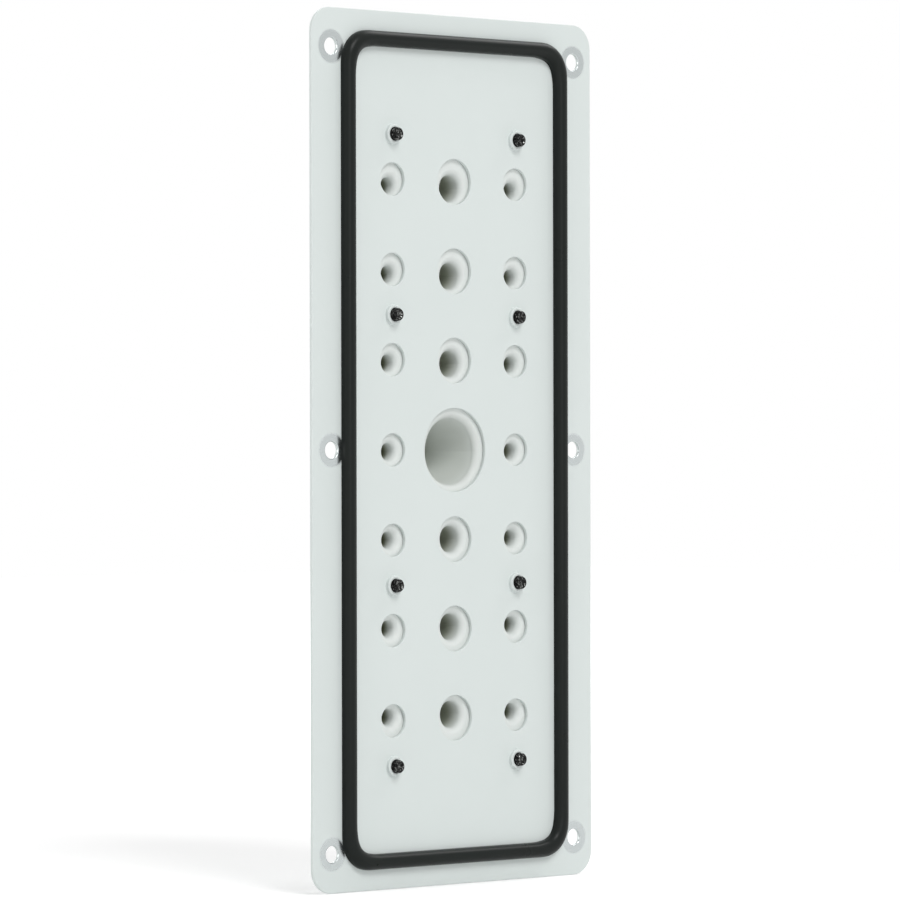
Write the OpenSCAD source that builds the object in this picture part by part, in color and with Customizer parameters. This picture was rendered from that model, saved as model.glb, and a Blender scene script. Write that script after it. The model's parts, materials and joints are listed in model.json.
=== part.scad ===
// Cable entry plate: a painted flange plate for a cabinet's cable opening.
// A soft one-piece insert with tapered nozzles is held behind the plate by a clamp plate and eight screws.
// The plate stands upright with its gasket side facing -Y, and the origin is the centre of that face.

/* [Plate] */
// Width of the plate, side to side
plate_width = 150; // [142:1:190]
// Length of the plate, end to end
plate_length = 340; // [326:1:420]
// Thickness of the sheet
plate_thickness = 1.5; // [1:0.1:3]
// Radius of the plate's corners
plate_corner_radius = 9.5; // [2:0.5:12]

/* [Fixing holes] */
// Diameter of the six fixing holes
fixing_hole_diameter = 6.6; // [5.4:0.1:7.2]
// Distance from a fixing hole's centre to the plate's side
fixing_side_margin = 10; // [8:0.5:11]
// Distance from a corner fixing hole's centre to the plate's end
fixing_end_margin = 15; // [10:0.5:30]

/* [Gasket] */
// Width of the gasket's foot
gasket_width = 6; // [5:0.5:7]
// Height of the gasket above the plate
gasket_height = 4; // [3.6:0.1:6]
// Distance from the plate's side to the middle of the gasket
gasket_side_inset = 18; // [17.5:0.5:22]
// Distance from the plate's end to the middle of the gasket
gasket_end_inset = 11; // [5:0.5:20]
// Radius of the gasket's corners, at its middle
gasket_bend_radius = 9.5; // [6:0.5:14]

/* [Cable entries] */
// Distance between rows of entries
row_pitch = 35; // [33:0.5:38]
// Distance from the middle column to a side column
column_offset = 33; // [30:0.5:36]
// Diameter of the plate's hole at a small entry
small_hole_diameter = 12.8; // [12:0.1:14]
// Diameter of the plate's hole at a medium entry
medium_hole_diameter = 17.8; // [16:0.1:19]
// Diameter of the plate's hole at the large entry
large_hole_diameter = 32.8; // [31.6:0.1:34]

/* [Insert] */
// Thickness of the insert's flange
insert_thickness = 3; // [2.8:0.1:5]
// Height of the sealing bead along the insert's edge, which keeps the rest of its face off the plate
seal_height = 0.2; // [0.1:0.1:1]
// Width of the sealing bead
seal_width = 3; // [2:0.5:4]
// Margin of the insert beyond the side columns
insert_side_margin = 13; // [11:0.5:17]
// Margin of the insert beyond the outermost screws
insert_end_margin = 11; // [9:0.5:16]
// Radius of the insert's corners
insert_corner_radius = 9; // [5:0.5:12]
// How far the soft moulding's shrinkage draws its outermost rows towards the middle
insert_shrinkage = 1.9; // [0:0.1:2.1]
// How far the insert has settled below the middle of the plate
insert_drop = 0.6; // [0:0.1:0.8]
// Radius of the rounded lead-in of each funnel
lead_in_radius = 3; // [2:0.1:3.2]
// Wall of the nozzles
nozzle_wall = 1.4; // [1:0.1:1.8]
// Throat diameter of a small funnel
small_throat_diameter = 6.3; // [5.5:0.1:6.6]
// Throat diameter of a medium funnel
medium_throat_diameter = 10.2; // [9:0.1:11]
// Throat diameter of the large funnel
large_throat_diameter = 26; // [24:0.1:26.8]
// Inner diameter at the tip of a small nozzle
small_tip_diameter = 5.8; // [4:0.1:6.2]
// Inner diameter at the tip of a medium nozzle
medium_tip_diameter = 8; // [5:0.1:9]
// Inner diameter at the tip of the large nozzle
large_tip_diameter = 15; // [10:0.5:18]
// Inner depth of a small nozzle, from the insert's face
small_nozzle_depth = 16; // [13:0.5:20]
// Inner depth of a medium nozzle, from the insert's face
medium_nozzle_depth = 21; // [16:0.5:26]
// Inner depth of the large nozzle, from the insert's face
large_nozzle_depth = 30; // [24:0.5:36]
// Height of the cutting rings round the nozzles
cutting_ring_height = 0.5; // [0.3:0.1:0.8]
// Distance between cutting rings
cutting_ring_pitch = 4.5; // [4:0.5:6]

/* [Clamp plate] */
// Thickness of the clamp plate
clamp_thickness = 2.5; // [1.5:0.1:4]
// How far the clamp plate's edge lies inside the insert's edge
clamp_edge_inset = 1; // [0:0.25:2]
// Radial room round each nozzle in the clamp plate
clamp_hole_clearance = 0.7; // [0.4:0.1:1.2]

/* [Clamp screws] */
// Thread diameter of the clamp screws
screw_diameter = 5; // [4:0.1:5.4]
// Length of the screw's tip beyond its collar
screw_tip_length = 2.4; // [0.8:0.1:4]
// Diameter of the screw's head
head_diameter = 9.5; // [9:0.1:11]
// Height of the screw's head
head_height = 2.75; // [2:0.05:4]
// Size of the hexagon socket across its flats
socket_size = 3; // [2.5:0.1:4]
// Depth of the hexagon socket
socket_depth = 1.6; // [1:0.1:1.8]
// Outer diameter of the threaded collars drawn out of the sheet
collar_diameter = 7.8; // [7.4:0.1:9]
// Height of the collars above the sheet
collar_height = 1.6; // [1:0.1:2.4]
// Radial room between a screw and its collar
thread_clearance = 0.1; // [0.05:0.05:0.2]
// Radial room between a screw and the clamp plate and insert
screw_clearance = 0.3; // [0.2:0.05:0.5]

/* [Hidden] */
$fn = 64;

paint = "#dde2df";
soft_grey = "#e2e4df";
black_rubber = "#232524";
black_oxide = "#1d1f20";

// Far enough for a cut to pass through a face
cut = 1;

// Entries: kind 0 is small, 1 is medium and 2 is large
outer_row = 3;
rows = [-outer_row:outer_row];
columns = [-1:1];
hole_diameter = [small_hole_diameter, medium_hole_diameter, large_hole_diameter];
throat_diameter = [small_throat_diameter, medium_throat_diameter, large_throat_diameter];
tip_diameter = [small_tip_diameter, medium_tip_diameter, large_tip_diameter];
nozzle_depth = [small_nozzle_depth, medium_nozzle_depth, large_nozzle_depth];
function entry_kind(column, row) = column != 0 ? 0 : row == 0 ? 2 : 1;

// Screws stand in the side columns, midway between rows
screw_rows = [-3.5, -1.5, 1.5, 3.5];
outer_screw = max(screw_rows) * row_pitch;

// Faces behind the plate's gasket side, measured back from it
insert_front = plate_thickness + seal_height;
clamp_front = insert_front + insert_thickness;
head_seat = clamp_front + clamp_thickness;

insert_width = 2 * (column_offset + insert_side_margin);
insert_length = 2 * (outer_screw + insert_end_margin);
insert_scale = 1 - insert_shrinkage / (outer_row * row_pitch);

fixing_x = plate_width / 2 - fixing_side_margin;
fixing_y = plate_length / 2 - fixing_end_margin;

gasket_half_width = plate_width / 2 - gasket_side_inset;
gasket_half_length = plate_length / 2 - gasket_end_inset;

// Edge breaks on the fine parts
collar_lip = 0.6;
collar_foot = 0.3;
draw_radius = 0.9;
screw_chamfer = 0.5;
// Radius of the pads that carry the insert round its screws
screw_pad_radius = screw_diameter / 2 + seal_width;
// The lead-in's arc meets the insert's face at a slight angle
lead_in_sink = 0.05;

// Stands a drawing up: its X stays, its Y points up and its Z points out of the gasket side
module upright() {
    rotate([90, 0, 0])
        children();
}

module rounded_outline(width, length, radius) {
    square([width - 2 * radius, length], center = true);
    square([width, length - 2 * radius], center = true);
    for (x = [-1, 1], y = [-1, 1])
        translate([x * (width / 2 - radius), y * (length / 2 - radius)])
            circle(r = radius);
}

// A flat piece whose front face lies the given distance behind the gasket side
module slab(front, thickness, width, length, radius) {
    translate([0, 0, -front - thickness])
        linear_extrude(thickness)
            rounded_outline(width, length, radius);
}

module at_fixings() {
    for (x = [-1, 1], y = [-1, 0, 1])
        translate([x * fixing_x, y * fixing_y, 0])
            children();
}

module at_screws() {
    for (x = [-1, 1], row = screw_rows)
        translate([x * column_offset, row * row_pitch, 0])
            children();
}

// The plate's hole at one entry
module plate_hole(kind) {
    translate([0, 0, -plate_thickness - cut])
        cylinder(d = hole_diameter[kind], h = plate_thickness + 2 * cut);
}

// A collar drawn forward out of the sheet, with a fillet at its foot and a rounded lip
module collar() {
    outer = collar_diameter / 2;
    root = plate_thickness / 2;
    rotate_extrude() {
        translate([0, -root])
            square([outer, root + collar_height - collar_lip]);
        translate([0, collar_height - collar_lip])
            square([outer - collar_lip, collar_lip]);
        translate([outer - collar_lip, collar_height - collar_lip])
            circle(r = collar_lip);
        difference() {
            translate([0, -root])
                square([outer + collar_foot, root + collar_foot]);
            translate([outer + collar_foot, collar_foot])
                circle(r = collar_foot);
        }
    }
}

// The collar's bore, with the rounded draw of the punch on the rear side
module collar_bore() {
    bore = screw_diameter / 2 + thread_clearance;
    translate([0, 0, -plate_thickness - cut])
        cylinder(r = bore, h = plate_thickness + collar_height + 2 * cut);
    translate([0, 0, -plate_thickness])
        cylinder(r1 = bore + draw_radius, r2 = bore, h = draw_radius);
}

module base_plate() {
    color(paint)
        upright()
            difference() {
                union() {
                    slab(0, plate_thickness, plate_width, plate_length, plate_corner_radius);
                    at_screws()
                        collar();
                }
                for (column = columns, row = rows)
                    translate([column * column_offset, row * row_pitch, 0])
                        plate_hole(entry_kind(column, row));
                at_fixings()
                    translate([0, 0, -plate_thickness - cut])
                        cylinder(d = fixing_hole_diameter, h = plate_thickness + 2 * cut);
                at_screws()
                    collar_bore();
            }
}

// Section of the gasket: straight sides on a flat foot, with a round crown
module gasket_section() {
    crown = gasket_width / 2;
    translate([-crown, 0])
        square([gasket_width, gasket_height - crown]);
    translate([0, gasket_height - crown])
        intersection() {
            circle(r = crown);
            translate([-crown, 0])
                square([gasket_width, crown]);
        }
}

module gasket_run(length) {
    rotate([90, 0, 0])
        translate([0, 0, -length / 2])
            linear_extrude(length)
                gasket_section();
}

module gasket_bend() {
    rotate_extrude(angle = 90)
        translate([gasket_bend_radius, 0])
            gasket_section();
}

module gasket() {
    straight_x = gasket_half_width - gasket_bend_radius;
    straight_y = gasket_half_length - gasket_bend_radius;
    color(black_rubber)
        upright() {
            for (x = [-1, 1])
                translate([x * gasket_half_width, 0, 0])
                    gasket_run(2 * straight_y);
            for (y = [-1, 1])
                translate([0, y * gasket_half_length, 0])
                    rotate([0, 0, 90])
                        gasket_run(2 * straight_x);
            for (turn = [0:3])
                translate([
                    (turn == 0 || turn == 3 ? 1 : -1) * straight_x,
                    (turn < 2 ? 1 : -1) * straight_y,
                    0
                ])
                    rotate([0, 0, 90 * turn])
                        gasket_bend();
        }
}

// Places an entry of the insert, whose drawing's Z points back from the insert's face
module at_funnel(column, row) {
    translate([
        column * column_offset,
        row * row_pitch * insert_scale - insert_drop,
        -insert_front
    ])
        mirror([0, 0, 1])
            children();
}

// Hollow of a funnel: rounded lead-in, tapered bore and domed end
module funnel_hollow(kind) {
    throat = throat_diameter[kind] / 2;
    tip = tip_diameter[kind] / 2;
    lead_depth = lead_in_radius - lead_in_sink;
    rotate_extrude()
        difference() {
            translate([0, -cut])
                square([throat + lead_in_radius, lead_depth + cut]);
            translate([throat + lead_in_radius, lead_depth])
                circle(r = lead_in_radius);
        }
    translate([0, 0, lead_depth])
        cylinder(r1 = throat, r2 = tip, h = nozzle_depth[kind] - tip - lead_depth);
    translate([0, 0, nozzle_depth[kind] - tip])
        sphere(r = tip);
}

// Outside of a nozzle: tapered wall, domed end and cutting rings
module nozzle_body(kind) {
    throat = throat_diameter[kind] / 2;
    tip = tip_diameter[kind] / 2;
    taper_start = lead_in_radius - lead_in_sink;
    taper_length = nozzle_depth[kind] - tip - taper_start;
    slope = (throat - tip) / taper_length;
    root = min(taper_start, insert_thickness) / 2;
    translate([0, 0, root])
        cylinder(r = throat + nozzle_wall, h = taper_start - root);
    translate([0, 0, taper_start])
        cylinder(r1 = throat + nozzle_wall, r2 = tip + nozzle_wall, h = taper_length);
    translate([0, 0, nozzle_depth[kind] - tip])
        sphere(r = tip + nozzle_wall);
    ring_start = insert_thickness + clamp_thickness + cutting_ring_pitch / 2;
    for (depth = [ring_start : cutting_ring_pitch : taper_start + taper_length - cutting_ring_height])
        translate([0, 0, depth])
            cylinder(
                r = throat + nozzle_wall + cutting_ring_height - slope * (depth - taper_start),
                h = cutting_ring_height
            );
}

// Raised bead along the insert's edge and pads round its screws, which press on the plate
module insert_seal() {
    difference() {
        slab(plate_thickness, seal_height, insert_width, insert_length, insert_corner_radius);
        slab(
            plate_thickness - cut,
            seal_height + 2 * cut,
            insert_width - 2 * seal_width,
            insert_length - 2 * seal_width,
            insert_corner_radius - seal_width
        );
    }
    at_screws()
        translate([0, 0, -insert_front])
            cylinder(r = screw_pad_radius, h = seal_height);
}

module membrane_insert() {
    color(soft_grey)
        upright()
            difference() {
                union() {
                    slab(insert_front, insert_thickness, insert_width, insert_length, insert_corner_radius);
                    insert_seal();
                    for (column = columns, row = rows)
                        at_funnel(column, row)
                            nozzle_body(entry_kind(column, row));
                }
                for (column = columns, row = rows)
                    at_funnel(column, row)
                        funnel_hollow(entry_kind(column, row));
                at_screws()
                    screw_clearance_hole(plate_thickness, seal_height + insert_thickness);
            }
}

module screw_clearance_hole(front, thickness) {
    translate([0, 0, -front - thickness - cut])
        cylinder(d = screw_diameter + 2 * screw_clearance, h = thickness + 2 * cut);
}

module clamp_plate() {
    color(paint)
        upright()
            difference() {
                slab(
                    clamp_front,
                    clamp_thickness,
                    insert_width - 2 * clamp_edge_inset,
                    insert_length - 2 * clamp_edge_inset,
                    insert_corner_radius - clamp_edge_inset
                );
                for (column = columns, row = rows)
                    at_funnel(column, row)
                        translate([0, 0, insert_thickness - cut])
                            cylinder(
                                r = throat_diameter[entry_kind(column, row)] / 2
                                    + nozzle_wall + clamp_hole_clearance,
                                h = clamp_thickness + 2 * cut
                            );
                at_screws()
                    screw_clearance_hole(clamp_front, clamp_thickness);
            }
}

// One screw: its head sits on the clamp plate and its tip stands out of the collar
module clamp_screw() {
    shank = screw_diameter / 2;
    tip = collar_height + screw_tip_length;
    dome = (pow(head_diameter / 2, 2) + pow(head_height, 2)) / (2 * head_height);
    difference() {
        union() {
            translate([0, 0, -head_seat])
                cylinder(r = shank, h = head_seat + tip - screw_chamfer);
            translate([0, 0, tip - screw_chamfer])
                cylinder(r1 = shank, r2 = shank - screw_chamfer, h = screw_chamfer);
            intersection() {
                translate([0, 0, -head_seat - head_height + dome])
                    sphere(r = dome);
                translate([0, 0, -head_seat - head_height])
                    cylinder(d = head_diameter, h = head_height);
            }
        }
        translate([0, 0, -head_seat - head_height - cut])
            cylinder(d = socket_size / cos(30), h = socket_depth + cut, $fn = 6);
    }
}

module clamp_screws() {
    color(black_oxide)
        upright()
            at_screws()
                clamp_screw();
}

base_plate();
gasket();
membrane_insert();
clamp_plate();
clamp_screws();
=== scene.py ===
"""Looks of the cable entry plate: finishes, threaded screws, eased sheets, light and view."""

import json
import math

import bpy
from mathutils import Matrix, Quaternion, Vector


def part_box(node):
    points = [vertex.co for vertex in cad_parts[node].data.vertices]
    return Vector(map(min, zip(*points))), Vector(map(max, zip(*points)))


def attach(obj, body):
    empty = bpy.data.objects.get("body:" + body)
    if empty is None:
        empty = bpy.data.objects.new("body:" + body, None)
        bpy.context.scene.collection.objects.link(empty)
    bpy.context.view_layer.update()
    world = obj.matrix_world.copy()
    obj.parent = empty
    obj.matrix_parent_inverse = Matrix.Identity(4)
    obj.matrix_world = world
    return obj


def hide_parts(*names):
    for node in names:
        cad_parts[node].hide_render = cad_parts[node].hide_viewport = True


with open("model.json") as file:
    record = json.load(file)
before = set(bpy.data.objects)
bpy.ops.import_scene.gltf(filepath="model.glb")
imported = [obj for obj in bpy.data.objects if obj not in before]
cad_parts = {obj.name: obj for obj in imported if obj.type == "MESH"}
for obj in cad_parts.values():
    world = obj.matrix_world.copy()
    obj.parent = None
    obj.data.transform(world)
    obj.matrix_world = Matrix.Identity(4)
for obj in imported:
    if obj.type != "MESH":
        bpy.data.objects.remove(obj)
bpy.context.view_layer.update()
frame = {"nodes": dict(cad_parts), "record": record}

MM = 0.001
# Points nearer than this are one point, and a cut is this exact
MERGE = 1e-6
CUT_EXACT = 1e-7
# A face points up when its normal's height is above this
FACES_UP = 0.9

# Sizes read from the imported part
plate_low, plate_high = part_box("base_plate")
plate_thickness = plate_high.y
collar_height = -plate_low.y
fixings = next(m for m in frame["record"]["mounts"] if m["name"] == "corner_fixings")["dims"]
fixing_x = fixings["spacing_x_mm"] * MM / 2
fixing_z = fixings["spacing_y_mm"] * MM / 2

# The view, worked out from the photo's perspective
IMAGE_SIZE = 900
VIEW_TURN = math.radians(43.3)
FOCAL_PIXELS = 5246
VIEW_DISTANCE = 2055.5 * MM
VIEW_SIDE_OFFSET = 1.95 * MM
VIEW_ROLL = math.radians(-0.11)
SENSOR_MM = 36
VIEW_END = 50.0


def deselect_all():
    """Leaves nothing selected, so that an operator acts on one piece alone."""
    if bpy.context.object and bpy.context.object.mode != "OBJECT":
        bpy.ops.object.mode_set(mode="OBJECT")
    bpy.ops.object.select_all(action="DESELECT")


# Materials


def new_material(name):
    """An empty node material with its shader and output joined."""
    material = bpy.data.materials.new(name)
    material.use_nodes = True
    nodes, links = material.node_tree.nodes, material.node_tree.links
    nodes.clear()
    shader = nodes.new("ShaderNodeBsdfPrincipled")
    output = nodes.new("ShaderNodeOutputMaterial")
    links.new(shader.outputs["BSDF"], output.inputs["Surface"])
    return material, nodes, links, shader


def math_node(nodes, links, operation, first, second=None, third=None):
    """A Math node whose inputs are sockets or plain numbers."""
    node = nodes.new("ShaderNodeMath")
    node.operation = operation
    for socket, value in zip(node.inputs, (first, second, third)):
        if value is None:
            continue
        if isinstance(value, (int, float)):
            socket.default_value = value
        else:
            links.new(value, socket)
    return node.outputs["Value"]


def smooth_step(nodes, links, value, low, high):
    """A soft step from 0 at low to 1 at high."""
    node = nodes.new("ShaderNodeMapRange")
    node.interpolation_type = "SMOOTHSTEP"
    links.new(value, node.inputs["Value"])
    node.inputs["From Min"].default_value = low
    node.inputs["From Max"].default_value = high
    return node.outputs["Result"]


def noise(nodes, links, vector, scale, detail=3.0, roughness=0.55):
    """A noise texture on the given coordinates."""
    node = nodes.new("ShaderNodeTexNoise")
    links.new(vector, node.inputs["Vector"])
    node.inputs["Scale"].default_value = scale
    node.inputs["Detail"].default_value = detail
    node.inputs["Roughness"].default_value = roughness
    return node.outputs["Fac"]


def mix_colour(nodes, links, factor, first, second):
    """A colour mix of two colours or sockets."""
    node = nodes.new("ShaderNodeMix")
    node.data_type = "RGBA"
    links.new(factor, node.inputs["Factor"])
    for socket, value in ((node.inputs["A"], first), (node.inputs["B"], second)):
        if isinstance(value, tuple):
            socket.default_value = (*value, 1.0)
        else:
            links.new(value, socket)
    return node.outputs["Result"]


def mix_value(nodes, links, factor, first, second):
    """A mix of two numbers or sockets."""
    node = nodes.new("ShaderNodeMix")
    node.data_type = "FLOAT"
    links.new(factor, node.inputs["Factor"])
    for socket, value in ((node.inputs["A"], first), (node.inputs["B"], second)):
        if isinstance(value, (int, float)):
            socket.default_value = value
        else:
            links.new(value, socket)
    return node.outputs["Result"]


def bump(nodes, links, height, distance, strength=1.0):
    """A bump whose height of 1 stands the given distance proud."""
    node = nodes.new("ShaderNodeBump")
    links.new(height, node.inputs["Height"])
    node.inputs["Distance"].default_value = distance
    node.inputs["Strength"].default_value = strength
    return node.outputs["Normal"]


def object_coordinates(nodes):
    """The place on the piece, in metres."""
    return nodes.new("ShaderNodeTexCoord").outputs["Object"]


def split(nodes, links, vector):
    """The X, Y and Z of a vector."""
    node = nodes.new("ShaderNodeSeparateXYZ")
    links.new(vector, node.inputs["Vector"])
    return node.outputs


# Noise scales, in waves to the metre
PAINT_CLOUD, PAINT_PEEL, ZINC_GRAIN = 24.0, 900.0, 700.0
RUBBER_CLOUD, RUBBER_GRAIN = 60.0, 1500.0
SOFT_CLOUD, SOFT_GRAIN = 45.0, 1800.0
OXIDE_PATCH, OXIDE_FLECK = 400.0, 1300.0
# Heights of the fine relief on each finish
PAINT_RELIEF = 0.03 * MM
RUBBER_RELIEF = 0.02 * MM
SOFT_RELIEF = 0.02 * MM
# Roughness of each finish, at its smoothest and roughest
PAINT_ROUGHNESS = (0.36, 0.46)
ZINC_ROUGHNESS = (0.16, 0.28)
RUBBER_ROUGHNESS = (0.24, 0.34)
SOFT_ROUGHNESS = (0.46, 0.58)
OXIDE_ROUGHNESS = (0.10, 0.24)
# How strongly the two black finishes reflect
RUBBER_SPECULAR = 0.11
OXIDE_SPECULAR = 0.13

PAINT = (0.705, 0.757, 0.742)
PAINT_SHADE = (0.675, 0.730, 0.714)
ZINC = (0.50, 0.535, 0.535)
BARE_RING_RADIUS = 6.5 * MM
BARE_RING_BLUR = 0.7 * MM
# Shares of the sheet's thickness between which the paint begins in a fixing hole
PAINT_EDGE = (0.5, 0.3)


def powder_coat(nodes, links, place):
    """Colour, roughness and height of the satin powder coat."""
    cloud = noise(nodes, links, place, PAINT_CLOUD, detail=2.0)
    peel = noise(nodes, links, place, PAINT_PEEL, detail=2.0)
    colour = mix_colour(nodes, links, cloud, PAINT_SHADE, PAINT)
    roughness = mix_value(nodes, links, peel, *PAINT_ROUGHNESS)
    return colour, roughness, peel


def distance_to_fixings(nodes, links, place):
    """Distance in the plate's plane to the nearest fixing hole, and depth behind the plate's face."""
    parts = split(nodes, links, place)
    across = math_node(nodes, links, "ABSOLUTE", parts["X"])
    across = math_node(nodes, links, "SUBTRACT", across, fixing_x)
    from_middle = math_node(nodes, links, "ABSOLUTE", parts["Z"])
    from_corner = math_node(nodes, links, "SUBTRACT", from_middle, fixing_z)
    from_corner = math_node(nodes, links, "ABSOLUTE", from_corner)
    along = math_node(nodes, links, "MINIMUM", from_middle, from_corner)
    square = math_node(nodes, links, "MULTIPLY", along, along)
    square = math_node(nodes, links, "MULTIPLY_ADD", across, across, square)
    return math_node(nodes, links, "SQRT", square), parts["Y"]


def plate_paint():
    """Satin powder coat, left off in a ring round each fixing hole on the gasket side."""
    material, nodes, links, shader = new_material("plate_paint")
    place = object_coordinates(nodes)
    colour, roughness, peel = powder_coat(nodes, links, place)
    distance, depth = distance_to_fixings(nodes, links, place)
    inside = smooth_step(
        nodes, links, distance, BARE_RING_RADIUS + BARE_RING_BLUR, BARE_RING_RADIUS - BARE_RING_BLUR
    )
    front = smooth_step(nodes, links, depth, PAINT_EDGE[0] * plate_thickness, PAINT_EDGE[1] * plate_thickness)
    bare = math_node(nodes, links, "MULTIPLY", inside, front)
    grain = noise(nodes, links, place, ZINC_GRAIN)
    links.new(mix_colour(nodes, links, bare, colour, ZINC), shader.inputs["Base Color"])
    links.new(bare, shader.inputs["Metallic"])
    zinc_roughness = mix_value(nodes, links, grain, *ZINC_ROUGHNESS)
    links.new(mix_value(nodes, links, bare, roughness, zinc_roughness), shader.inputs["Roughness"])
    skin = math_node(nodes, links, "SUBTRACT", peel, bare)
    links.new(bump(nodes, links, skin, PAINT_RELIEF, 0.5), shader.inputs["Normal"])
    return material


def clamp_paint():
    """The same powder coat on the clamp plate."""
    material, nodes, links, shader = new_material("clamp_paint")
    colour, roughness, peel = powder_coat(nodes, links, object_coordinates(nodes))
    links.new(colour, shader.inputs["Base Color"])
    links.new(roughness, shader.inputs["Roughness"])
    links.new(bump(nodes, links, peel, PAINT_RELIEF, 0.5), shader.inputs["Normal"])
    return material


RUBBER_BLACK = (0.0115, 0.0140, 0.0128)
RUBBER_BLOOM = (0.0145, 0.0174, 0.0160)


def gasket_rubber():
    """Smooth black rubber with a low gloss and a faint bloom."""
    material, nodes, links, shader = new_material("gasket_rubber")
    place = object_coordinates(nodes)
    bloom = noise(nodes, links, place, RUBBER_CLOUD, detail=4.0)
    grain = noise(nodes, links, place, RUBBER_GRAIN, detail=2.0)
    links.new(mix_colour(nodes, links, bloom, RUBBER_BLACK, RUBBER_BLOOM), shader.inputs["Base Color"])
    links.new(mix_value(nodes, links, bloom, *RUBBER_ROUGHNESS), shader.inputs["Roughness"])
    shader.inputs["Specular IOR Level"].default_value = RUBBER_SPECULAR
    links.new(bump(nodes, links, grain, RUBBER_RELIEF, 0.4), shader.inputs["Normal"])
    return material


SOFT_GREY = (0.738, 0.772, 0.754)
SOFT_GREY_SHADE = (0.708, 0.744, 0.724)
# Painted shade: the darker colour mixed in deep inside the bores, standing in for the shade that falls there
BORE_PAINTED_SHADE = (0.200, 0.220, 0.140)
# Where the funnels stand in the insert, and where their lead-ins end
ENTRY_COLUMN = 33.0 * MM
ENTRY_ROW = 34.367 * MM
ENTRY_DROP = 0.6 * MM
THROAT_DEPTH = 4.6 * MM
# Radii between which a bore counts as wide and then narrow, and as medium and then small
WIDE_TO_NARROW = (9.0 * MM, 4.5 * MM)
MEDIUM_TO_SMALL = (4.6 * MM, 3.4 * MM)
# Where the painted shade begins, in radii behind the throat, how fast it deepens and how deep it gets
SHADE_START, SHADE_START_SMALL = -0.45, 0.1
SHADE_RATE_WIDE, SHADE_RATE_MEDIUM, SHADE_RATE_SMALL = 1.2, 0.56, 0.65
SHADE_WIDE, SHADE_MEDIUM, SHADE_SMALL = 0.24, 0.75, 1.0
# How far inwards a face must point to count as a bore's wall
BORE_WALL = 0.8 * MM


def from_nearest(nodes, links, value, pitch):
    """Distance, with its sign, from the nearest multiple of a pitch."""
    count = math_node(nodes, links, "ROUND", math_node(nodes, links, "DIVIDE", value, pitch))
    return math_node(nodes, links, "MULTIPLY_ADD", count, -pitch, value)


def painted_bore_shade(nodes, links, place):
    """Painted shade: from 0 on the insert's face and outside to 1 deep in a bore, less in the wide one."""
    parts = split(nodes, links, place)
    facing = split(nodes, links, nodes.new("ShaderNodeNewGeometry").outputs["Normal"])
    across = from_nearest(nodes, links, parts["X"], ENTRY_COLUMN)
    height = math_node(nodes, links, "ADD", parts["Z"], ENTRY_DROP)
    along = from_nearest(nodes, links, height, ENTRY_ROW)
    square = math_node(nodes, links, "MULTIPLY", along, along)
    radius = math_node(nodes, links, "SQRT", math_node(nodes, links, "MULTIPLY_ADD", across, across, square))
    outward = math_node(nodes, links, "MULTIPLY", along, facing["Z"])
    outward = math_node(nodes, links, "MULTIPLY_ADD", across, facing["X"], outward)
    inside = smooth_step(nodes, links, outward, 0.0, -BORE_WALL)
    narrow = smooth_step(nodes, links, radius, *WIDE_TO_NARROW)
    small = smooth_step(nodes, links, radius, *MEDIUM_TO_SMALL)
    start = mix_value(nodes, links, small, SHADE_START, SHADE_START_SMALL)
    rate = mix_value(nodes, links, small, SHADE_RATE_MEDIUM, SHADE_RATE_SMALL)
    rate = mix_value(nodes, links, narrow, SHADE_RATE_WIDE, rate)
    reach = math_node(nodes, links, "SUBTRACT", parts["Y"], THROAT_DEPTH)
    reach = math_node(nodes, links, "DIVIDE", reach, radius)
    reach = math_node(nodes, links, "SUBTRACT", reach, start)
    depth = smooth_step(nodes, links, math_node(nodes, links, "MULTIPLY", reach, rate), 0.0, 1.0)
    shade = mix_value(nodes, links, small, SHADE_MEDIUM, SHADE_SMALL)
    shade = mix_value(nodes, links, narrow, SHADE_WIDE, shade)
    return math_node(nodes, links, "MULTIPLY", math_node(nodes, links, "MULTIPLY", inside, depth), shade)


def soft_moulding():
    """Matt light grey soft moulding, with shade painted in deep inside its bores."""
    material, nodes, links, shader = new_material("soft_moulding")
    place = object_coordinates(nodes)
    cloud = noise(nodes, links, place, SOFT_CLOUD)
    grain = noise(nodes, links, place, SOFT_GRAIN, detail=2.0)
    skin = mix_colour(nodes, links, cloud, SOFT_GREY_SHADE, SOFT_GREY)
    # Painted shade inside the bores, mixed into the moulding's colour
    bore = painted_bore_shade(nodes, links, place)
    links.new(mix_colour(nodes, links, bore, skin, BORE_PAINTED_SHADE), shader.inputs["Base Color"])
    links.new(mix_value(nodes, links, grain, *SOFT_ROUGHNESS), shader.inputs["Roughness"])
    links.new(bump(nodes, links, grain, SOFT_RELIEF, 0.5), shader.inputs["Normal"])
    return material


OXIDE_DEEP = (0.0010, 0.0012, 0.0011)
OXIDE_PALE = (0.0045, 0.0050, 0.0048)
WORN_STEEL = (0.15, 0.155, 0.15)
# Noise values between which the oxide is worn through, and collar heights between which the tip begins
FLECK_EDGE = (0.50, 0.64)
TIP_START, TIP_FULL = -1.0, -1.4


def black_oxide():
    """Oiled black oxide on steel, worn through in flecks on the screws' tips."""
    material, nodes, links, shader = new_material("black_oxide")
    place = object_coordinates(nodes)
    depth = split(nodes, links, place)["Y"]
    patch = noise(nodes, links, place, OXIDE_PATCH)
    flecks = smooth_step(nodes, links, noise(nodes, links, place, OXIDE_FLECK, detail=2.0), *FLECK_EDGE)
    tip = smooth_step(nodes, links, depth, TIP_START * collar_height, TIP_FULL * collar_height)
    worn = math_node(nodes, links, "MULTIPLY", flecks, tip)
    black = mix_colour(nodes, links, patch, OXIDE_DEEP, OXIDE_PALE)
    links.new(mix_colour(nodes, links, worn, black, WORN_STEEL), shader.inputs["Base Color"])
    links.new(worn, shader.inputs["Metallic"])
    links.new(mix_value(nodes, links, patch, *OXIDE_ROUGHNESS), shader.inputs["Roughness"])
    shader.inputs["Specular IOR Level"].default_value = OXIDE_SPECULAR
    return material


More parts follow.
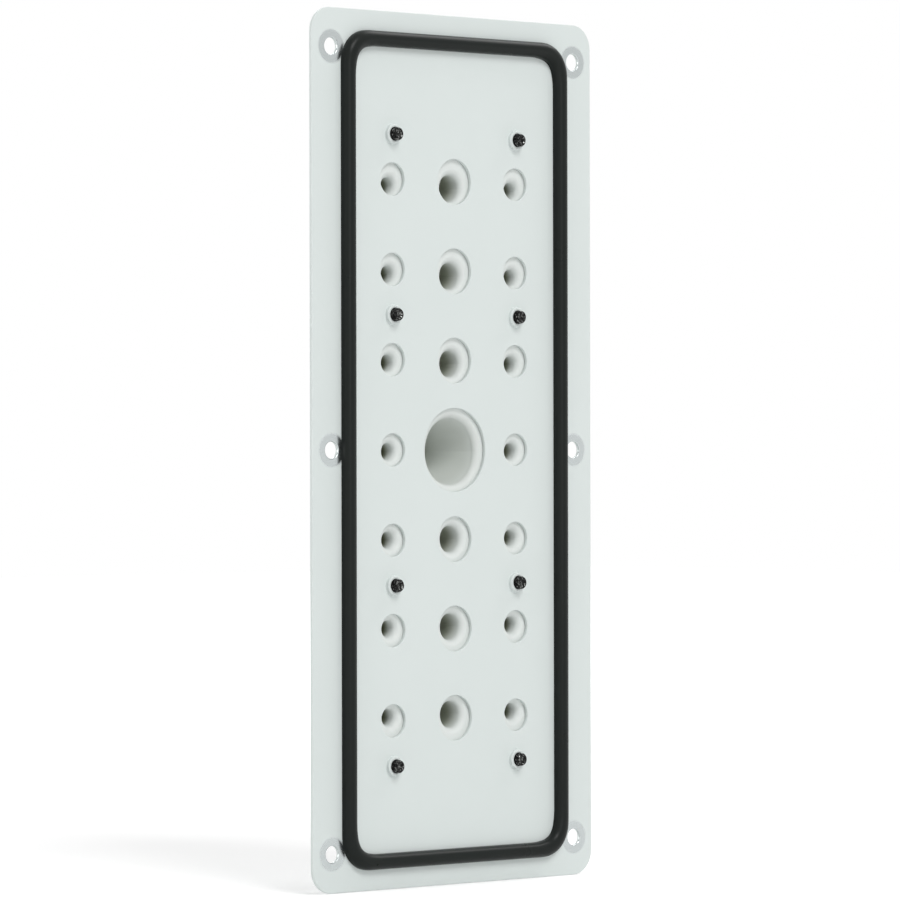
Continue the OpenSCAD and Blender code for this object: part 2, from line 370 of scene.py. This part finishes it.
def dress(name, material):
    """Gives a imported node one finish."""
    mesh = frame["nodes"][name].data
    mesh.materials.clear()
    mesh.materials.append(material)


# Modelling helpers


def edit_all():
    """Opens the active piece in edit mode with everything selected."""
    bpy.ops.object.mode_set(mode="EDIT")
    bpy.ops.mesh.select_mode(type="VERT")
    bpy.ops.mesh.select_all(action="SELECT")


def leave_edit():
    """Goes back to object mode."""
    bpy.ops.object.mode_set(mode="OBJECT")


def edit_only(piece, part, wanted):
    """Opens a piece in edit mode with only the wanted vertices, edges or polygons selected."""
    kinds = ("vertices", "edges", "polygons")
    for kind in kinds:
        for item in getattr(piece.data, kind):
            item.select = kind == part and wanted(item)
    bpy.context.tool_settings.mesh_select_mode = [kind == part for kind in kinds]
    bpy.ops.object.mode_set(mode="EDIT")


def edge_heights(piece, edge):
    """The heights of an edge's two ends."""
    return [piece.data.vertices[v].co.z for v in edge.vertices]


def place_in_mesh():
    """Applies the active piece's place, turn and scale to its mesh."""
    bpy.ops.object.transform_apply(location=True, rotation=True, scale=True)


def cut_off(height, upper):
    """Cuts the active piece at a height, closes the cut and drops the part above or below it."""
    edit_all()
    bpy.ops.mesh.bisect(
        plane_co=(0.0, 0.0, height),
        plane_no=(0.0, 0.0, 1.0),
        use_fill=True,
        clear_outer=upper,
        clear_inner=not upper,
        threshold=CUT_EXACT,
    )
    leave_edit()
    edit_all()
    bpy.ops.mesh.normals_make_consistent(inside=False)
    leave_edit()


def combine(piece, tool, operation):
    """Joins, cuts or trims a piece with a tool, which is used up."""
    deselect_all()
    piece.select_set(True)
    bpy.context.view_layer.objects.active = piece
    modifier = piece.modifiers.new(operation.lower(), "BOOLEAN")
    modifier.operation = operation
    modifier.solver = "EXACT"
    modifier.object = tool
    bpy.ops.object.modifier_apply(modifier=modifier.name)
    bpy.data.objects.remove(tool)


def close_mesh(angle):
    """Merges doubled points, faces everything outwards and shades by angle."""
    edit_all()
    bpy.ops.mesh.remove_doubles(threshold=MERGE)
    bpy.ops.mesh.normals_make_consistent(inside=False)
    leave_edit()
    bpy.ops.object.shade_smooth_by_angle(angle=math.radians(angle))


def finish_piece(piece, name, material, node):
    """Names a piece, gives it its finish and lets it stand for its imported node."""
    piece.name = name
    piece.data.name = name
    piece.data.materials.clear()
    piece.data.materials.append(material)
    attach(piece, "root")
    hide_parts(node)


# Clamp screws with their threads

SCREW_X = 33.0 * MM
SCREW_ROWS = (-122.5 * MM, -52.5 * MM, 52.5 * MM, 122.5 * MM)
# Each screw stopped at its own turn, in degrees
SCREW_TURNS = (12, 205, 96, 301, 158, 47, 262, 338)
THREAD_RADIUS = 2.5 * MM
THREAD_PITCH = 0.8 * MM
THREAD_DEPTH = 0.49 * MM
THREAD_STEPS = 24
# Whole turns that the winding has in hand below the head's seat and past the tip
SPARE_TURNS = 2
# How far the thread goes on into the head
THREAD_ROOT = 0.5 * MM
TIP_CHAMFER = 0.5 * MM
# The tip's flat rim, the dish inside it, and the widths of the dish's two slopes
TIP_RIM = 0.35 * MM
TIP_DISH = 0.45 * MM
DISH_SLOPES = ((0.6 * MM, TIP_DISH), (0.5 * MM, 0.3 * TIP_DISH))
# The trimming cylinder stands clear of the thread and goes on past the screw's other end
TRIM_SLACK = 0.05 * MM
TRIM_OVERRUN = 2.0 * MM
TRIM_SEGMENTS = 64
HEAD_RADIUS = 4.75 * MM
HEAD_HEIGHT = 2.75 * MM
HEAD_SEGMENTS = 48
SOCKET_FLATS = 3.0 * MM
SOCKET_DEPTH = 1.6 * MM
# The shallow cone that the drill leaves at the socket's bottom
SOCKET_CONE_INSET = 0.35 * SOCKET_FLATS
SOCKET_CONE_DEPTH = 0.3 * MM
RIM_EASE = 0.2 * MM
# Edges flatter than this are shaded smooth, in degrees
SCREW_SMOOTH = 32

head_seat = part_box("clamp_plate")[1].y
screw_length = head_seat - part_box("clamp_screws")[0].y


def make_thread():
    """A run of metric thread along Z, from inside the head to the tip."""
    start = (THREAD_RADIUS - THREAD_DEPTH, 0.0, -SPARE_TURNS * THREAD_PITCH)
    deselect_all()
    # A plane merged to one point, from which the outline is drawn
    bpy.ops.mesh.primitive_plane_add(size=THREAD_PITCH, location=start)
    thread = bpy.context.object
    place_in_mesh()
    edit_all()
    bpy.ops.mesh.merge(type="CENTER")
    # Root, rising flank, crest and falling flank: steps outwards, and upwards in pitches
    outline = ((0.0, 0.25), (THREAD_DEPTH, 0.3125), (0.0, 0.125), (-THREAD_DEPTH, 0.3125))
    for out, up in outline:
        bpy.ops.mesh.extrude_region_move(TRANSFORM_OT_translate={"value": (out, 0.0, up * THREAD_PITCH)})
    leave_edit()
    winding = thread.modifiers.new("winding", "SCREW")
    winding.axis = "Z"
    winding.angle = 2 * math.pi
    winding.screw_offset = THREAD_PITCH
    winding.iterations = math.ceil(screw_length / THREAD_PITCH) + 2 * SPARE_TURNS
    winding.steps = THREAD_STEPS
    winding.render_steps = THREAD_STEPS
    winding.use_smooth_shade = False
    bpy.ops.object.modifier_apply(modifier=winding.name)
    edit_all()
    bpy.ops.mesh.remove_doubles(threshold=MERGE)
    leave_edit()
    cut_off(-THREAD_ROOT, False)
    cut_off(screw_length + THREAD_PITCH, True)
    return thread


def make_tip_trim():
    """A chamfered cylinder round the thread with a dished end, which trims the screw's tip."""
    depth = screw_length + TRIM_OVERRUN
    deselect_all()
    bpy.ops.mesh.primitive_cylinder_add(
        vertices=TRIM_SEGMENTS,
        radius=THREAD_RADIUS + TRIM_SLACK,
        depth=depth,
        location=(0.0, 0.0, screw_length - depth / 2),
    )
    trim = bpy.context.object
    place_in_mesh()
    edit_only(trim, "edges", lambda edge: min(edge_heights(trim, edge)) > screw_length - MERGE)
    bpy.ops.mesh.bevel(offset=TIP_CHAMFER + TRIM_SLACK, segments=1, affect="EDGES")
    leave_edit()
    edit_only(trim, "polygons", lambda face: face.normal.z > FACES_UP)
    bpy.ops.mesh.inset(thickness=TIP_RIM)
    for width, drop in DISH_SLOPES:
        bpy.ops.mesh.inset(thickness=width, depth=-drop)
    leave_edit()
    return trim


def make_head():
    """A button head below its seat."""
    dome = (HEAD_RADIUS ** 2 + HEAD_HEIGHT ** 2) / (2 * HEAD_HEIGHT)
    deselect_all()
    bpy.ops.mesh.primitive_uv_sphere_add(
        segments=HEAD_SEGMENTS,
        ring_count=HEAD_SEGMENTS,
        radius=dome,
        location=(0.0, 0.0, dome - HEAD_HEIGHT),
    )
    head = bpy.context.object
    place_in_mesh()
    cut_off(0.0, True)
    return head


def ease_head_rim(screw):
    """Rounds the sharp edge between the head and its seat."""

    def on_rim(edge):
        ends = [screw.data.vertices[v].co for v in edge.vertices]
        return all(abs(end.z) < MERGE and end.xy.length > HEAD_RADIUS - RIM_EASE for end in ends)

    edit_only(screw, "edges", on_rim)
    bpy.ops.mesh.bevel(offset=RIM_EASE, segments=2, affect="EDGES")
    leave_edit()


def make_socket():
    """The hexagon key's shape, a little conical at its bottom, to be cut out of the head."""
    deselect_all()
    bpy.ops.mesh.primitive_cylinder_add(
        vertices=6,
        radius=SOCKET_FLATS / 2 / math.cos(math.pi / 6),
        depth=2 * SOCKET_DEPTH,
        location=(0.0, 0.0, -HEAD_HEIGHT),
    )
    socket = bpy.context.object
    place_in_mesh()
    edit_only(socket, "polygons", lambda face: face.normal.z > FACES_UP)
    bpy.ops.mesh.inset(thickness=SOCKET_CONE_INSET)
    bpy.ops.transform.translate(value=(0.0, 0.0, SOCKET_CONE_DEPTH))
    leave_edit()
    return socket


def make_clamp_screws(material):
    """One threaded screw, copied to all eight places."""
    screw = make_thread()
    combine(screw, make_tip_trim(), "INTERSECT")
    combine(screw, make_head(), "UNION")
    combine(screw, make_socket(), "DIFFERENCE")
    ease_head_rim(screw)
    close_mesh(SCREW_SMOOTH)
    places = [(x, z) for x in (-SCREW_X, SCREW_X) for z in SCREW_ROWS]
    for count, ((x, z), turn) in enumerate(zip(places, SCREW_TURNS), 1):
        deselect_all()
        screw.select_set(True)
        bpy.context.view_layer.objects.active = screw
        bpy.ops.object.duplicate()
        piece = bpy.context.object
        piece.rotation_euler = (math.pi / 2, math.radians(turn), 0.0)
        piece.location = (x, head_seat, z)
        place_in_mesh()
        finish_piece(piece, f"clamp_screw_{count}", material, "clamp_screws")
    bpy.data.objects.remove(screw)


# Sheets with eased edges, and the gasket with fuller bends

# Angles in degrees: faces this flat to each other are joined, and sheared edges are at least this sharp.
# Edges flatter than the last two are shaded smooth
FLAT_WITHIN = 0.5
SHEARED_EDGE = 60
SHEET_SMOOTH = 40
GASKET_SMOOTH = 35


def merged_copy(node):
    """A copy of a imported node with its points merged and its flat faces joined."""
    deselect_all()
    source = frame["nodes"][node]
    source.select_set(True)
    bpy.context.view_layer.objects.active = source
    bpy.ops.object.duplicate()
    bpy.ops.mesh.customdata_custom_splitnormals_clear()
    edit_all()
    bpy.ops.mesh.remove_doubles(threshold=MERGE)
    bpy.ops.mesh.dissolve_limited(angle_limit=math.radians(FLAT_WITHIN))
    bpy.ops.mesh.normals_make_consistent(inside=False)
    leave_edit()
    return bpy.context.object


def eased_copy(node, name, width, material):
    """A merged copy of a packed sheet with its punched and sheared edges eased."""
    piece = merged_copy(node)
    ease = piece.modifiers.new("ease", "BEVEL")
    ease.width = width
    ease.segments = 3
    ease.limit_method = "ANGLE"
    ease.angle_limit = math.radians(SHEARED_EDGE)
    ease.use_clamp_overlap = False
    bpy.ops.object.modifier_apply(modifier=ease.name)
    bpy.ops.object.shade_smooth_by_angle(angle=math.radians(SHEET_SMOOTH))
    even = piece.modifiers.new("even", "WEIGHTED_NORMAL")
    even.mode = "FACE_AREA"
    even.weight = 100
    even.keep_sharp = True
    bpy.ops.object.modifier_apply(modifier=even.name)
    finish_piece(piece, name, material, node)


GASKET_WIDTH = 6.0 * MM
GASKET_BEND = 9.5 * MM
BEND_BULGE = 0.75 * MM
BULGE_REACH = 8.0 * MM
# The part of a bend that is pulled: past this share of its inner radius both ways, and this near its inner face
BULGE_SPAN = 0.3
BULGE_SKIN = 0.3 * MM
# Cuts across the straight runs, measured from where a bend begins
RUN_CUTS = (1.5 * MM, 3.5 * MM, 6.0 * MM, 10.0 * MM)
BENDS = ((-1, -1), (-1, 1), (1, -1), (1, 1))


def make_gasket(material):
    """The rubber profile, crowded towards the inside where it goes round its four bends."""
    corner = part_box("gasket")[1]
    middle_x = corner.x - GASKET_WIDTH / 2 - GASKET_BEND
    middle_z = corner.z - GASKET_WIDTH / 2 - GASKET_BEND
    inner = GASKET_BEND - GASKET_WIDTH / 2
    gasket = merged_copy("gasket")
    for axis, middle in ((Vector((1.0, 0.0, 0.0)), middle_x), (Vector((0.0, 0.0, 1.0)), middle_z)):
        for cut in RUN_CUTS:
            for side in (-1, 1):
                edit_all()
                bpy.ops.mesh.bisect(plane_co=axis * side * (middle - cut), plane_no=axis, threshold=CUT_EXACT)
                leave_edit()
    for side, end in BENDS:

        def inside_bend(vertex):
            across = side * vertex.co.x - middle_x
            along = end * vertex.co.z - middle_z
            halfway = min(across, along) > BULGE_SPAN * inner
            return halfway and math.hypot(across, along) < inner + BULGE_SKIN

        edit_only(gasket, "vertices", inside_bend)
        bpy.ops.transform.translate(
            value=(-side * BEND_BULGE, 0.0, -end * BEND_BULGE),
            use_proportional_edit=True,
            proportional_edit_falloff="SMOOTH",
            proportional_size=BULGE_REACH,
        )
        leave_edit()
    close_mesh(GASKET_SMOOTH)
    finish_piece(gasket, "gasket_loop", material, "gasket")


PLATE_EASE = 0.35 * MM
CLAMP_EASE = 0.3 * MM

dress("membrane_insert", soft_moulding())
make_gasket(gasket_rubber())
make_clamp_screws(black_oxide())
eased_copy("base_plate", "flange_plate", PLATE_EASE, plate_paint())
eased_copy("clamp_plate", "rear_clamp_plate", CLAMP_EASE, clamp_paint())


# Stage, light and view

AMBIENT = 0.35
FLOOR_SIZE = 8.0
FLOOR_CLEARANCE = 0.2 * MM
FLOOR_GREY = (0.80, 0.80, 0.80, 1.0)
# Glow of the floor as it lights the part, and as it is seen near the plate and far from it
FLOOR_GLOW = 0.08
FLOOR_GLOW_NEAR = 0.35
FLOOR_GLOW_FAR = 0.80
# Distances from the plate between which the seen glow grows, in metres
GLOW_REACH = (0.3, 1.5)
# Soft boxes: name, place, target, size and power
SOFT_BOXES = (
    ("key", (-0.9, -4.1, 4.0), (0.0, 0.0, 0.0), 2.4, 156.0),
    ("edge", (-2.2, 0.9, 0.2), (0.0, 0.0, 0.0), 1.4, 16.0),
    ("low", (-0.9, -2.4, 0.35), (0.0, 0.0, -0.15), 0.8, 5.0),
    ("side", (1.9, -0.2, 2.1), (0.0, 0.0, 0.0), 1.5, 24.0),
    ("back", (1.2, 3.0, 2.2), (0.0, 0.0, 0.0), 1.6, 24.0),
)


def seen_rays(nodes, links):
    """1 where the camera, a reflection or clear material looks, and 0 for light on the part."""
    paths = nodes.new("ShaderNodeLightPath")
    seen = math_node(nodes, links, "MAXIMUM", paths.outputs["Is Camera Ray"], paths.outputs["Is Glossy Ray"])
    return math_node(nodes, links, "MAXIMUM", seen, paths.outputs["Is Transmission Ray"])


def make_floor():
    """A pale floor that the plate stands on, seen as white and keeping the shadow."""
    deselect_all()
    bpy.ops.mesh.primitive_plane_add(size=FLOOR_SIZE, location=(0.0, 0.0, plate_low.z - FLOOR_CLEARANCE))
    floor = bpy.context.object
    floor.name = "floor"
    material = bpy.data.materials.new("floor_white")
    material.use_nodes = True
    nodes, links = material.node_tree.nodes, material.node_tree.links
    nodes.clear()
    matt = nodes.new("ShaderNodeBsdfDiffuse")
    matt.inputs["Color"].default_value = FLOOR_GREY
    glow = nodes.new("ShaderNodeEmission")
    seen = seen_rays(nodes, links)
    reach = nodes.new("ShaderNodeVectorMath")
    reach.operation = "LENGTH"
    links.new(object_coordinates(nodes), reach.inputs[0])
    far = smooth_step(nodes, links, reach.outputs["Value"], *GLOW_REACH)
    glow_seen = mix_value(nodes, links, far, FLOOR_GLOW_NEAR, FLOOR_GLOW_FAR)
    links.new(mix_value(nodes, links, seen, FLOOR_GLOW, glow_seen), glow.inputs["Strength"])
    both = nodes.new("ShaderNodeAddShader")
    links.new(matt.outputs["BSDF"], both.inputs[0])
    links.new(glow.outputs["Emission"], both.inputs[1])
    output = nodes.new("ShaderNodeOutputMaterial")
    links.new(both.outputs["Shader"], output.inputs["Surface"])
    floor.data.materials.append(material)


def make_world():
    """White surroundings: seen at full white, and lighting the part at a plain level."""
    world = bpy.data.worlds.new("studio")
    bpy.context.scene.world = world
    world.use_nodes = True
    nodes, links = world.node_tree.nodes, world.node_tree.links
    nodes.clear()
    seen = seen_rays(nodes, links)
    background = nodes.new("ShaderNodeBackground")
    background.inputs["Color"].default_value = (1.0, 1.0, 1.0, 1.0)
    links.new(mix_value(nodes, links, seen, AMBIENT, 1.0), background.inputs["Strength"])
    output = nodes.new("ShaderNodeOutputWorld")
    links.new(background.outputs["Background"], output.inputs["Surface"])


def soft_box(name, place, target, size, power):
    """A square soft box at a place, turned to a target."""
    light = bpy.data.lights.new(name, "AREA")
    light.shape = "SQUARE"
    light.size = size
    light.energy = power
    lamp = bpy.data.objects.new(name, light)
    bpy.context.scene.collection.objects.link(lamp)
    lamp.location = place
    lamp.rotation_euler = (Vector(target) - Vector(place)).to_track_quat("-Z", "Y").to_euler()


def make_camera():
    """A long lens at the plate's mid-height, on the side of its left edge."""
    forward = Vector((math.sin(VIEW_TURN), math.cos(VIEW_TURN), 0.0))
    right = Vector((math.cos(VIEW_TURN), -math.sin(VIEW_TURN), 0.0))
    camera = bpy.data.cameras.new("view")
    camera.sensor_width = SENSOR_MM
    camera.lens = SENSOR_MM * FOCAL_PIXELS / IMAGE_SIZE
    camera.clip_end = VIEW_END
    holder = bpy.data.objects.new("view", camera)
    bpy.context.scene.collection.objects.link(holder)
    holder.location = -(VIEW_SIDE_OFFSET * right + VIEW_DISTANCE * forward)
    upright = forward.to_track_quat("-Z", "Y")
    holder.rotation_euler = (upright @ Quaternion((0.0, 0.0, 1.0), VIEW_ROLL)).to_euler()
    bpy.context.scene.camera = holder


make_floor()
make_world()
for soft in SOFT_BOXES:
    soft_box(*soft)
make_camera()

bpy.context.scene.view_settings.view_transform = "Standard"
